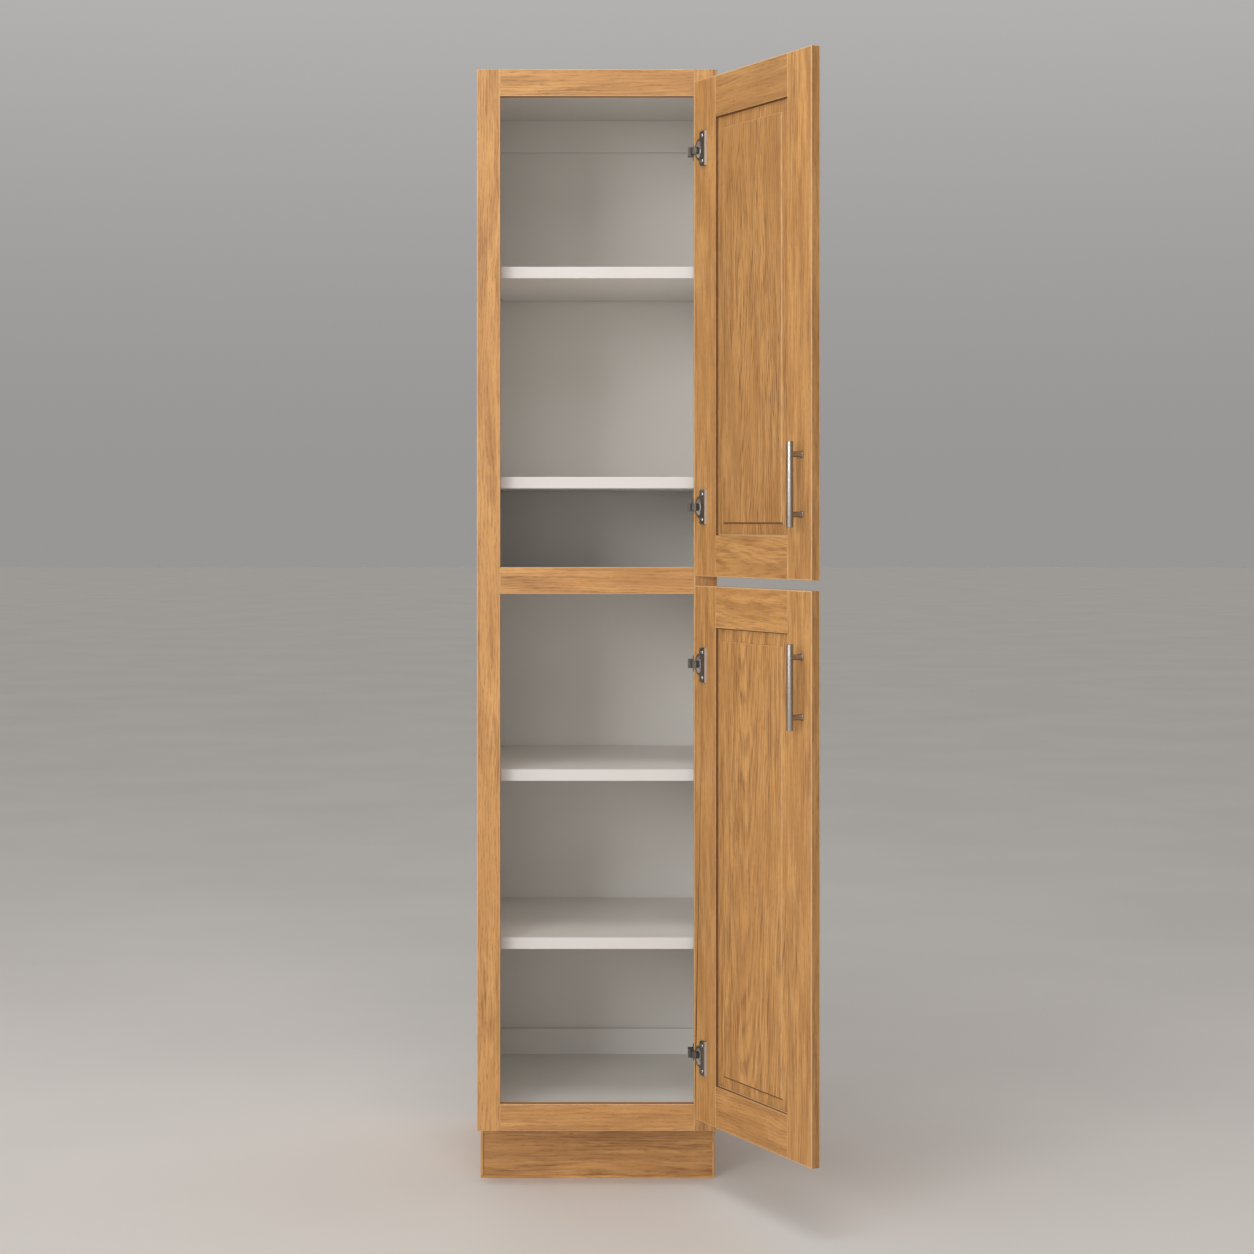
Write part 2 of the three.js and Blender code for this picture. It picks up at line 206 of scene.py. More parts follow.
# ==== materials ===============================================================================
OAK_LIGHT = (0.690, 0.362, 0.122)
OAK_MID = (0.530, 0.254, 0.078)
OAK_DARK = (0.250, 0.098, 0.024)
OAK_PORE = (0.150, 0.056, 0.015)
# a pale painted highlight for rounded edges, and a dark painted shade for recesses and for strips under
# other parts
OAK_ARRIS_HIGHLIGHT = ((0.78, 0.51, 0.27), (0.66, 0.39, 0.18))
OAK_GROOVE_SHADE = ((0.24, 0.110, 0.033), (0.165, 0.070, 0.020))
RING = 5.6 * MM            # spacing of the growth rings
LOG_SPREAD = 40.0          # how far from the middle of the noises a board may lie

# where the log's heart runs: how far to one side, how deep behind the face, and its lean
CATHEDRAL_HEART = 0.012
CATHEDRAL_DEPTH = (0.034, 0.046)
CATHEDRAL_LEAN = (0.05, 0.075)
STRAIGHT_HEART = (0.05, 0.09)
STRAIGHT_DEPTH = (0.03, 0.05)
STRAIGHT_LEAN = (0.01, 0.025)

# how much a panel's staves may differ in tone, and in where across and along the log they lay
STAVE_TONE = 0.16
STAVE_ACROSS = 0.11
STAVE_ALONG = 1.9

# noises: how fine along and across the grain, where they start, their detail and roughness
OAK_NOISES = {
    "sway": (2.1, 9.0, 3.1, 2.0, 0.5),
    "curl": (9.0, 38.0, 4.3, 2.0, 0.5),
    "ragged": (19.0, 330.0, 1.7, 3.0, 0.65),
    "strand": (24.0, 240.0, 6.9, 2.0, 0.6),
    "fibre": (24.0, 620.0, 5.3, 3.0, 0.6),
    "streak": (6.0, 62.0, 9.1, 3.0, 0.6),
    "cloud": (3.2, 15.0, 7.7, 3.0, 0.6),
    "pore": (75.0, 1700.0, 2.2, 1.0, 0.5),
}

# how far the noises move the rings and the fibres, in metres
SWAY_ACROSS = 0.05
SWAY_DEPTH = 0.03
CURL_ACROSS = 0.012
FIBRE_CURL = 0.006
RAGGED = 1.1               # how far they fray a ring's edge, in rings

# how much each part of the figure darkens the wood, or the least and the most it does
EARLY_DARK = 0.24
EARLY_STRAND_DARK = 0.34
STRAND_DARK = 0.13
STREAK_DARK = (-0.14, 0.40)
FIBRE_DARK = (-0.06, 0.16)
CLOUD_SHARE = 0.60         # the most that another colour covers the wood with
PORE_SHARE = 0.6
END_SHARE = 0.45           # end grain, and the narrow edges of a board
NARROW_SHARE = 0.30

METAL_DARK_REFLECTION = (0.06, 0.055, 0.05)     # painted dark reflection that plated metal takes at its edges, and how far
METAL_DARK_REFLECTION_SHARE = 0.75


def oak(name, grain, across, centre, cathedral=False, tone=0.0, stave=None, figure=0.5):
    """Oak for one board. The log's heart runs nearly along the grain, behind the face, so its
    rings show as arches where it is close and tilted, and as straight lines where it is far to
    one side. A panel is glued up from staves of that width, each cut from elsewhere in a log.
    The figure is how plainly the rings show. A tone above zero makes the whole board paler."""
    g = material_graph(name)
    along, side = Vector(grain), Vector(across)
    axes = (along, side, along.cross(side))
    coordinates = g.node("TexCoord")
    place = g.node("VectorMath", {0: coordinates.outputs["Object"], 1: tuple(centre)}, operation="SUBTRACT")
    u, v, w = (g.dot(place.outputs[0], axis) for axis in axes)
    start = [rng.uniform(-LOG_SPREAD, LOG_SPREAD) for _ in axes]
    stave_tone = 0.0
    if stave:
        number = g.math("FLOOR", g.math("MULTIPLY_ADD", v, 1 / stave, rng.uniform(0.3, 0.7)))
        dice = g.node("TexWhiteNoise", {"W": g.math("ADD", number, start[0])}, noise_dimensions="1D")
        jump = g.math("SUBTRACT", dice.outputs["Value"], 0.5)
        stave_tone = g.math("MULTIPLY", jump, STAVE_TONE)
        v = g.math("MULTIPLY_ADD", jump, STAVE_ACROSS, v)
        u = g.math("MULTIPLY_ADD", jump, STAVE_ALONG, u)

    def noise(kind):
        along_scale, across_scale, offset, detail, rough = OAK_NOISES[kind]
        scales = (along_scale, across_scale, across_scale)
        shifted = [g.math("MULTIPLY_ADD", value, scale, first + offset * (k + 1))
                   for k, (value, scale, first) in enumerate(zip((u, v, w), scales, start))]
        return g.noise(g.combine(*shifted), detail, rough)

    # growth rings round a heart that wanders
    sway = g.math("SUBTRACT", noise("sway"), 0.5)
    curl = g.math("SUBTRACT", noise("curl"), 0.5)
    if cathedral:
        heart = rng.uniform(-CATHEDRAL_HEART, CATHEDRAL_HEART)
        depth = rng.uniform(*CATHEDRAL_DEPTH)
        lean = rng.choice((-1, 1)) * rng.uniform(*CATHEDRAL_LEAN)
    else:
        heart = rng.choice((-1, 1)) * rng.uniform(*STRAIGHT_HEART)
        depth = rng.uniform(*STRAIGHT_DEPTH)
        lean = rng.choice((-1, 1)) * rng.uniform(*STRAIGHT_LEAN)
    across_heart = g.math("MULTIPLY_ADD", sway, SWAY_ACROSS, g.math("ADD", v, heart))
    leaning = g.math("MULTIPLY_ADD", u, lean, g.math("ADD", w, depth))
    from_heart = g.math("MULTIPLY_ADD", sway, SWAY_DEPTH, leaning)
    across_heart = g.math("MULTIPLY_ADD", curl, CURL_ACROSS, across_heart)
    square = g.math("ADD", g.math("MULTIPLY", across_heart, across_heart),
                    g.math("MULTIPLY", from_heart, from_heart))
    ragged = g.math("SUBTRACT", noise("ragged"), 0.5)
    phase = g.math("MULTIPLY_ADD", ragged, RAGGED, g.math("DIVIDE", g.math("SQRT", square), RING))
    ring = g.math("FRACT", phase)
    early = g.math("MULTIPLY", g.span(ring, 0.0, 0.25), g.span(ring, 0.85, 0.30))

    # strands and fibres that follow the rings' waviness, pores, and slow changes of tone
    v = g.math("MULTIPLY_ADD", curl, FIBRE_CURL, v)
    strand, fibre, streak = noise("strand"), noise("fibre"), noise("streak")
    cloud, pore = noise("cloud"), noise("pore")
    pores = g.math("MULTIPLY", g.span(pore, 0.56, 0.68), g.span(early, 0.0, 1.0, 0.25, 1.0))

    strands = g.span(strand, 0.40, 0.66)
    dark = g.math("MULTIPLY_ADD", early, EARLY_DARK * figure, stave_tone)
    early_strands = g.math("MULTIPLY", early, strands)
    dark = g.math("MULTIPLY_ADD", early_strands, EARLY_STRAND_DARK * figure, dark)
    dark = g.math("MULTIPLY_ADD", strands, STRAND_DARK, dark)
    dark = g.math("ADD", dark, g.span(streak, 0.34, 0.66, *STREAK_DARK))
    dark = g.math("ADD", dark, g.span(fibre, 0.28, 0.72, *FIBRE_DARK), clamp=True)
    colour = g.blend(dark, OAK_LIGHT, OAK_DARK)
    colour = g.blend(g.span(cloud, 0.32, 0.68, 0.0, CLOUD_SHARE), colour, OAK_MID)
    colour = g.blend(g.math("MULTIPLY", pores, PORE_SHARE), colour, OAK_PORE)
    for direction, share in ((along, END_SHARE), (side, NARROW_SHARE)):
        facing = g.math("ABSOLUTE", g.dot(coordinates.outputs["Normal"], direction))
        colour = g.blend(g.math("MULTIPLY", g.span(facing, 0.6, 0.95), share), colour, OAK_DARK)
    level = 1.0 + tone
    colour = g.blend(1.0, colour, (level, level, level), "MULTIPLY")

    relief = g.math("MULTIPLY_ADD", pores, -0.9, g.math("MULTIPLY", fibre, 0.4))
    roughness = g.span(fibre, 0.25, 0.75, 0.42, 0.56)
    return g.finish(Base_Color=colour, Roughness=roughness, Normal=g.bump(relief, 0.0002, 0.5))


def plain_oak(name, light, dark):
    """Oak on a narrow strip with no room for figure: a painted highlight along a rounded edge, or painted
    shade in a recess or under a part.
    """
    g = material_graph(name)
    place = g.node("TexCoord").outputs["Object"]
    mottle = g.noise(g.scaled(place, (420, 420, 60)), 4.0, 0.65)
    return g.finish(Base_Color=g.blend(g.span(mottle, 0.35, 0.65), light, dark), Roughness=0.5)


def white_board(name, light, dark, low_rough):
    """Melamine-faced board with the faint pebble of its press plate."""
    g = material_graph(name)
    place = g.node("TexCoord").outputs["Object"]
    pebble = g.noise(g.scaled(place, (900, 900, 900)))
    cloud = g.noise(g.scaled(place, (3, 3, 3)))
    colour = g.blend(g.span(cloud, 0.3, 0.7), light, dark)
    roughness = g.span(pebble, 0.3, 0.7, low_rough, low_rough + 0.12)
    return g.finish(Base_Color=colour, Roughness=roughness, Normal=g.bump(pebble, 0.00006, 0.5))


def bare_board(name, light, dark, scale):
    """The uncoated face or edge of a board of pressed wood fibre."""
    g = material_graph(name)
    place = g.node("TexCoord").outputs["Object"]
    fibres = g.noise(g.scaled(place, (scale, scale, scale)), 5.0, 0.7)
    cloud = g.noise(g.scaled(place, (4, 4, 4)), 3.0)
    colour = g.blend(g.span(fibres, 0.35, 0.65), dark, light)
    colour = g.blend(g.span(cloud, 0.3, 0.7, 0.0, 0.3), colour, dark)
    return g.finish(Base_Color=colour, Roughness=0.78, Normal=g.bump(fibres, 0.0003, 0.6))


def metal(name, light, dark, scales, roughness):
    """Plated metal with a painted dark reflection where it turns away from the eye. The scales stretch its
    fine scratches along the direction of brushing."""
    g = material_graph(name)
    place = g.node("TexCoord").outputs["Object"]
    scratch = g.noise(g.scaled(place, scales), 3.0, 0.6)
    cloud = g.noise(g.scaled(place, (60, 60, 60)))
    colour = g.blend(g.span(scratch, 0.3, 0.7), light, dark)
    glancing = g.node("LayerWeight", {"Blend": 0.5}).outputs["Facing"]
    colour = g.blend(g.span(glancing, 0.25, 0.85, 0.0, METAL_DARK_REFLECTION_SHARE), colour, METAL_DARK_REFLECTION)
    rough = g.math("ADD", g.span(scratch, 0.3, 0.7, roughness - 0.05, roughness + 0.06),
                   g.span(cloud, 0.3, 0.7, -0.02, 0.03))
    return g.finish(Base_Color=colour, Metallic=1.0, Roughness=rough, Normal=g.bump(scratch, 0.00001, 0.3))


def matt(name, colour, roughness):
    """A plain painted or cast surface with a little unevenness."""
    g = material_graph(name)
    place = g.node("TexCoord").outputs["Object"]
    cloud = g.noise(g.scaled(place, (1.2, 1.2, 1.2)), 4.0)
    paler = tuple(min(1.0, c * 1.05) for c in colour)
    return g.finish(Base_Color=g.blend(g.span(cloud, 0.3, 0.7), colour, paler), Roughness=roughness)


# ==== meshes ==================================================================================
def new_object(name, data):
    made = bpy.data.objects.new(name, data)
    bpy.context.scene.collection.objects.link(made)
    return made


def drop_custom_normals(mesh):
    if "custom_normal" in mesh.attributes:
        mesh.attributes.remove(mesh.attributes["custom_normal"])


def add_mesh(name, bm, materials, body, smooth=False):
    """A new piece from a bmesh, riding on a body if one is given."""
    mesh = bpy.data.meshes.new(name)
    bmesh.ops.recalc_face_normals(bm, faces=bm.faces)
    for face in bm.faces:
        face.smooth = smooth
    bm.to_mesh(mesh)
    bm.free()
    drop_custom_normals(mesh)
    for material in materials:
        mesh.materials.append(material)
    piece = new_object(name, mesh)
    if body:
        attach(piece, body)
    return piece


def body_of(node):
    return nodes[node]["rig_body"]


def refined(node, materials, widest, weight_of, face_material=None, edge_material=-1):
    """A CAD board's own shape with whole flat faces and rounded edges. weight_of gives each sharp
    edge's share of the widest rounding, and face_material picks the material of each face."""
    bm = bmesh.new()
    bm.from_mesh(nodes[node].data)
    bmesh.ops.remove_doubles(bm, verts=bm.verts, dist=WELD)
    bmesh.ops.dissolve_limit(bm, angle_limit=FLAT_ANGLE, verts=bm.verts, edges=bm.edges)
    weights = bm.edges.layers.float.new("bevel_weight_edge")
    for edge in bm.edges:
        sharp = edge.is_manifold and edge.calc_face_angle() > SHARP_ANGLE
        edge.smooth = not sharp
        edge[weights] = weight_of(edge) if sharp else 0.0
    bm.normal_update()
    for face in bm.faces:
        face.material_index = face_material(face) if face_material else 0
    piece = add_mesh(node + "_board", bm, materials, body_of(node), smooth=True)
    rounding = piece.modifiers.new("eased edges", "BEVEL")
    rounding.width = widest
    rounding.segments = ROUND_SEGMENTS
    rounding.limit_method = "WEIGHT"
    rounding.harden_normals = True
    rounding.material = edge_material
    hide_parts(node)


def ease_cad(node, width, *materials):
    """Keeps a CAD node as it is, with its points welded, its edges rounded and its materials set."""
    piece = nodes[node]
    drop_custom_normals(piece.data)
    piece.data.materials.clear()
    for material in materials:
        piece.data.materials.append(material)
    weld = piece.modifiers.new("weld", "WELD")
    weld.merge_threshold = WELD
    rounding = piece.modifiers.new("eased edges", "BEVEL")
    rounding.width = width
    rounding.segments = 2
    rounding.angle_limit = METAL_SHARP_ANGLE


def lathe(profile, segments):
    """A closed round solid about Z from (radius, height) points that start and end on the axis."""
    bm = bmesh.new()
    rings = []
    for radius, height in profile:
        if radius < WELD / 2:
            rings.append([bm.verts.new((0, 0, height))])
            continue
        turn = [2 * math.pi * k / segments for k in range(segments)]
        rings.append([bm.verts.new((radius * math.cos(a), radius * math.sin(a), height)) for a in turn])
    for low, high in zip(rings, rings[1:]):
        for k in range(segments):
            n = (k + 1) % segments
            corners = [low[k % len(low)], low[n % len(low)], high[n % len(high)], high[k % len(high)]]
            bm.faces.new(list(dict.fromkeys(corners)))
    return bm


def moved(bm, matrix):
    bmesh.ops.transform(bm, matrix=matrix, verts=bm.verts)
    return bm


def arc(centre, radius, start, end, steps=4):
    """Points (radius, height) along an arc from one angle to another, in degrees."""
    turns = [math.radians(start + (end - start) * k / steps) for k in range(steps + 1)]
    return [(centre[0] + radius * math.cos(t), centre[1] + radius * math.sin(t)) for t in turns]


# ==== doors ===================================================================================
class Door:
    """One door: its axes, and its CAD nodes measured in them."""

    def __init__(self, which, arris, groove_shade):
        self.which = which
        # this door's painted highlight for rounded edges and painted shade for recesses
        self.arris, self.groove_shade = arris, groove_shade
        self.body = which + "_door"
        joint = next(j for j in frame["joints"] if j["child"] == self.body)
        angle = -math.radians(joint["range_deg"][0])
        axis = Vector(joint["pos_m"])
        self.to_world = Matrix.Translation((axis.x, axis.y, 0)) @ Matrix.Rotation(angle, 4, "Z")
        self.to_local = self.to_world.inverted()
        self.along = (self.to_world.to_3x3() @ X).normalized()
        self.outline = [self.box(self.body + part) for part in ("_hinge_stile", "_pull_stile")]
        self.hinge_edge = self.outline[0][1].x
        self.free_edge = self.outline[1][0].x
        self.outer, self.inner = self.outline[0][0].y, self.outline[0][1].y
        self.bottom, self.top = self.outline[0][0].z, self.outline[0][1].z
        self.panel_edges = (self.outline[1][1].x, self.outline[0][0].x)
        self.middle = (self.outline[0][1] + self.outline[1][0]) / 2

    def box(self, node):
        """The lowest and highest corner of a CAD node in the door's own axes."""
        points = [self.to_local @ v.co for v in nodes[node].data.vertices]
        low = Vector(min(p[k] for p in points) for k in range(3))
        high = Vector(max(p[k] for p in points) for k in range(3))
        return low, high

    def edge_weight(self, edge):
        """Big rounding on the door's outline, small on the panel side, least at the joints."""
        middle = self.to_local @ ((edge.verts[0].co + edge.verts[1].co) / 2)
        run = self.to_local.to_3x3() @ (edge.verts[1].co - edge.verts[0].co).normalized()
        on_face = min(abs(middle.y - self.outer), abs(middle.y - self.inner)) < NEAR
        outline = min(abs(middle.x - self.hinge_edge), abs(middle.x - self.free_edge),
                      abs(middle.z - self.bottom), abs(middle.z - self.top)) < NEAR
        if not on_face:
            return DOOR_CORNER_SHARE if outline and abs(run.y) > SQUARE_ON else 0.0
        if outline:
            return 1.0
        if abs(run.x) > SQUARE_ON and self.panel_edges[0] < middle.x < self.panel_edges[1]:
            return PANEL_SIDE_ROUND / DOOR_ROUND
        return JOINT_ROUND / DOOR_ROUND if max(abs(run.x), abs(run.z)) > 0.99 else 0.0

    def board(self, part, upright, **look):
        """A stile or rail, with painted shade on its side towards the panel and a painted highlight on its
        rounded edges.
        """
        node = self.body + part
        low, high = self.box(node)
        centre = self.to_world @ ((low + high) / 2)
        grain, across = (Z, self.along) if upright else (self.along, Z)
        finish = oak("oak_" + node, grain, across, centre, **look)
        inward = self.to_world.to_3x3() @ (self.middle - (low + high) / 2)
        inward = inward.dot(self.along) * self.along if upright else Vector((0, 0, inward.z))
        inward.normalize()
        refined(node, [finish, self.arris, self.groove_shade], DOOR_ROUND, self.edge_weight,
                lambda face: 2 if face.normal.dot(inward) > SQUARE_ON else 0, 1)

    def panel(self, **look):
        """A tongue all round, a wide slope, a small square step and a raised field, on both faces.
        It is a stack of rectangles, each inset from the last, so its corners are mitred."""
        node = self.body + "_panel"
        low, high = self.box(node)
        lap = self.panel_edges[0] - low.x
        field = (high.y - low.y) / 2
        middle = (high.y + low.y) / 2
        foot = PANEL_TONGUE + PANEL_RIM_RISE
        pitch = (field - PANEL_LIP - foot) / (PANEL_SLOPE - PANEL_RIM)
        step = lap + PANEL_SLOPE
        half = [(0, PANEL_TONGUE), (lap, PANEL_TONGUE), (lap + PANEL_RIM, foot),
                (step - PANEL_SHADE, field - PANEL_LIP - PANEL_SHADE * pitch),
                (step, field - PANEL_LIP),
                (step + PANEL_LIP_ROUND * 0.5, field - PANEL_LIP_ROUND),
                (step + PANEL_LIP_ROUND * 0.6, field - PANEL_LIP_ROUND * 0.3),
                (step + PANEL_LIP_ROUND * 1.6, field)]
        levels = [(inset, -height) for inset, height in reversed(half)] + half
        bm = bmesh.new()
        loops = []
        for inset, height in levels:
            x0, x1, z0, z1 = low.x + inset, high.x - inset, low.z + inset, high.z - inset
            loops.append([bm.verts.new((x, middle + height, z))
                          for x, z in ((x0, z0), (x1, z0), (x1, z1), (x0, z1))])
        for number, (a, b) in enumerate(zip(loops, loops[1:])):
            strip = abs(number - (len(half) - 1))
            for k, side in enumerate(("bottom", "right", "top", "left")):
                face = bm.faces.new([a[k], a[(k + 1) % 4], b[(k + 1) % 4], b[k]])
                face.material_index = self.panel_finish(strip, len(half) - 1, side)
        bm.faces.new(loops[0])
        bm.faces.new(loops[-1])
        moved(bm, self.to_world)
        centre = self.to_world @ ((low + high) / 2)
        finish = oak("oak_" + node, Z, self.along, centre, **look)
        piece = add_mesh(node + "_raised", bm, [finish, self.arris, self.groove_shade], self.body)
        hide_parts(node)

    def panel_finish(self, strip, last, side):
        """Painted highlights show pale round the slope's foot and the field, and painted shade darkens the
        corner under the top rail and the strips below the field. Strips are counted out from the tongue."""
        wood, painted_highlight, painted_shade = 0, 1, 2
        if strip == 2:
            return painted_shade if side == "top" else painted_highlight
        if side == "bottom":
            return painted_shade if last - 4 < strip < last else wood
        if side == "left":
            return painted_highlight if strip > last - 3 else wood
        return painted_highlight if strip == last else wood

    def pull(self, face, finish):
        """A round bar with chamfered ends on two posts that flare out where they meet the wood."""
        node = f"pull_{self.which}_{face}"
        low, high = self.box(node)
        outward = 1 if face == "inner" else -1
        surface = self.inner if face == "inner" else self.outer
        tip = high.y if face == "inner" else low.y
        radius = (high.x - low.x) / 2
        x, bar_y = (low.x + high.x) / 2, tip - outward * radius
        length = high.z - low.z
        chamfer = arc((radius - BAR_CHAMFER, BAR_CHAMFER), BAR_CHAMFER, -60, 0)
        end = [(0, 0), (radius - BAR_CHAMFER, 0), *chamfer]
        profile = end + [(r, length - h) for r, h in reversed(end)]
        place = self.to_world @ Matrix.Translation((x, bar_y, low.z))
        bar_mesh = moved(lathe(profile, BAR_SIDES), place)
        bar = add_mesh(node + "_bar", bar_mesh, [finish], self.body, True)
        mark_sharp(bar, 25)
        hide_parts(node)
        reach = abs(bar_y - surface)
        top = reach - radius * 0.5
        profile = [(0, 0), (POST_RADIUS + POST_FLARE, 0), (POST_RADIUS + POST_FLARE, 1.2 * MM),
                   (POST_RADIUS + POST_FLARE * 0.35, 2.2 * MM), (POST_RADIUS, 3.6 * MM),
                   (POST_RADIUS * 0.96, reach * 0.6), (POST_RADIUS, top), (0, top)]
        outwards = Matrix.Rotation(math.radians(-90 * outward), 4, "X")
        middle = (low.z + high.z) / 2
        for side, label in ((1, "upper"), (-1, "lower")):
            centre = Matrix.Translation((x, surface, middle + side * POST_PITCH / 2))
            post_mesh = moved(lathe(profile, POST_SIDES), self.to_world @ centre @ outwards)
            post = add_mesh(f"{node}_post_{label}", post_mesh, [finish], self.body, True)
            mark_sharp(post, 35)


def mark_sharp(piece, degrees):
    """Keeps edges sharper than an angle crisp on a smooth-shaded mesh."""
    bm = bmesh.new()
    bm.from_mesh(piece.data)
    for edge in bm.edges:
        edge.smooth = not (edge.is_manifold and edge.calc_face_angle() > math.radians(degrees))
    bm.to_mesh(piece.data)
    bm.free()


# ==== hinge screws ============================================================================
def screw_mesh(finish, dark):
    """A low round head with a cross recess, standing along +Z on its seat at z = 0."""
    radius, height = SCREW_HEAD
    profile = [(0, 0), (radius, 0), (radius * 0.99, height * 0.35), (radius * 0.86, height * 0.72),
               (radius * 0.6, height * 0.93), (radius * 0.3, height), (0, height)]
    head = lathe(profile, SCREW_SIDES)
    mesh = bpy.data.meshes.new("screw_head")
    bmesh.ops.recalc_face_normals(head, faces=head.faces)
    for face in head.faces:
        face.smooth = True
    head.to_mesh(mesh)
    head.free()
    body = new_object("screw_head", mesh)
    cutters = []
    for turn in (0, 90):
        bm = bmesh.new()
        bmesh.ops.create_cube(bm, size=1.0)
        slot = Matrix.Diagonal((radius * 1.15, SCREW_SLOT, height, 1))
        turned = Matrix.Rotation(math.radians(turn), 4, "Z")
        moved(bm, Matrix.Translation((0, 0, height)) @ turned @ slot)
        for face in bm.faces:
            face.material_index = 1
        cutter_mesh = bpy.data.meshes.new("recess")
        bm.to_mesh(cutter_mesh)
        bm.free()
        cutter = new_object("recess", cutter_mesh)
        cutters.append(cutter)
        cut = body.modifiers.new("recess", "BOOLEAN")
        cut.operation = "DIFFERENCE"
        cut.object = cutter
        cut.solver = "EXACT"
    for item in (body, *cutters):
        item.data.materials.append(finish)
        item.data.materials.append(dark)
    bpy.context.view_layer.update()
    cut_mesh = bpy.data.meshes.new_from_object(body.evaluated_get(bpy.context.evaluated_depsgraph_get()))
    for item in (body, *cutters):
        bpy.data.objects.remove(item)
    return cut_mesh


def place_screw(name, mesh, matrix, body):
    piece = new_object(name, mesh.copy())
    piece.data.transform(matrix)
    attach(piece, body)


# ==== the cabinet =============================================================================
def board_look(node, grain, across, **look):
    low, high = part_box(node)
    return oak("oak_" + node, grain, across, (low + high) / 2, **look)


def build_face_frame(arris):
    # the rounded edges of the face frame carry a painted highlight
    for side, tone in (("left", 0.03), ("right", 0.0)):
        node = "frame_stile_" + side
        finishes = [board_look(node, Z, X, tone=tone), arris]
        refined(node, finishes, FRAME_ROUND, frame_weight, edge_material=1)
    for place, tone in (("top", -0.02), ("mid", 0.0), ("bottom", 0.0)):
        node = "frame_rail_" + place
        finishes = [board_look(node, X, Z, tone=tone), arris]
        refined(node, finishes, FRAME_ROUND, frame_weight, edge_material=1)


def frame_weight(edge):
    """The long edges are eased, and the ends only just, so that the joints show as fine lines."""
    return 1.0 if edge.calc_length() > FRAME_LONG_EDGE else FRAME_JOINT_SHARE


def even(edge):
    return 1.0


def build_carcass(white, shelf_white, band, bare, hardboard):
    """The sides are oak outside and white inside, the back and the top bare where they face the
    room, and the shelves have a band on their front edge."""
    for side, sign in (("left", -1), ("right", 1)):
        node = "side_panel_" + side
        veneer = board_look(node, Z, Y, cathedral=True, stave=0.18, figure=0.9)

        def pick(face, sign=sign):
            outwards = face.normal.x * sign
            if outwards > SQUARE_ON:
                return 0
            return 1 if outwards < -SQUARE_ON else 2

        refined(node, [veneer, white, bare], BOARD_ROUND, round_only_long, pick)
    refined("top_panel", [white, bare], BOARD_ROUND, even,
            lambda face: int(face.normal.z > SQUARE_ON))
    refined("back_panel", [white, hardboard], BOARD_ROUND / 2, even,
            lambda face: int(face.normal.y > -SQUARE_ON))
    for node in ("mid_deck", "bottom_panel", "hang_rail_top", "hang_rail_bottom"):
        refined(node, [white], BOARD_ROUND, even)
    for number in range(1, 5):
        refined(f"shelf_{number}", [shelf_white, band], BOARD_ROUND, even,
                lambda face: int(face.normal.y < -SQUARE_ON))


def round_only_long(edge):
    return 1.0 if edge.calc_length() > SIDE_LONG_EDGE else 0.0


def build_toe_kick():
    """The board, and the thin strips that finish its two ends and its foot."""
    node = "toe_kick"
    refined(node, [board_look(node, X, Z, tone=-0.03)], BOARD_ROUND, even)
    low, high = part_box(node)
    wide, proud = TRIM
    strips = {
        "left": ((low.x, low.z + wide), (low.x + wide, high.z), Z, X),
        "right": ((high.x - wide, low.z + wide), (high.x, high.z), Z, X),
        "foot": ((low.x, low.z), (high.x, low.z + wide), X, Z),
    }
    for place, ((x0, z0), (x1, z1), grain, across) in strips.items():
        bm = bmesh.new()
        bmesh.ops.create_cube(bm, size=1.0)
        centre = Vector(((x0 + x1) / 2, low.y - proud / 2, (z0 + z1) / 2))
        moved(bm, Matrix.Translation(centre) @ Matrix.Diagonal((x1 - x0, proud, z1 - z0, 1)))
        bmesh.ops.bevel(bm, geom=bm.edges[:], offset=TRIM_ROUND, segments=ROUND_SEGMENTS,
                        profile=0.5, affect="EDGES")
        finish = oak("oak_toe_trim_" + place, grain, across, centre, tone=0.12)
        add_mesh("toe_kick_trim_" + place, bm, [finish], "cabinet")


def build_doors(pull_finish, arris, groove_shade):
    upper, lower = Door("upper", arris, groove_shade), Door("lower", arris, groove_shade)
    upper.board("_hinge_stile", True, tone=0.0)
    upper.board("_pull_stile", True, tone=0.03)
    upper.board("_top_rail", False, tone=-0.13)
    upper.board("_bottom_rail", False, cathedral=True, tone=-0.05, figure=0.6)
    upper.panel(cathedral=True, stave=0.088, tone=-0.08, figure=1.15)
    lower.board("_hinge_stile", True, tone=0.0)
    lower.board("_pull_stile", True, tone=0.02)
    lower.board("_top_rail", False, cathedral=True, tone=0.03, figure=0.35)
    lower.board("_bottom_rail", False, tone=0.0)
    lower.panel(cathedral=True, stave=0.125, tone=0.03, figure=0.85)
    for door in (upper, lower):
        for face in ("inner", "outer"):
            door.pull(face, pull_finish)
    return upper, lower


def finish_faces(node, pick):
    """Sets which of its materials each face of a CAD node has."""
    for face in nodes[node].data.polygons:
        face.material_index = pick(face)


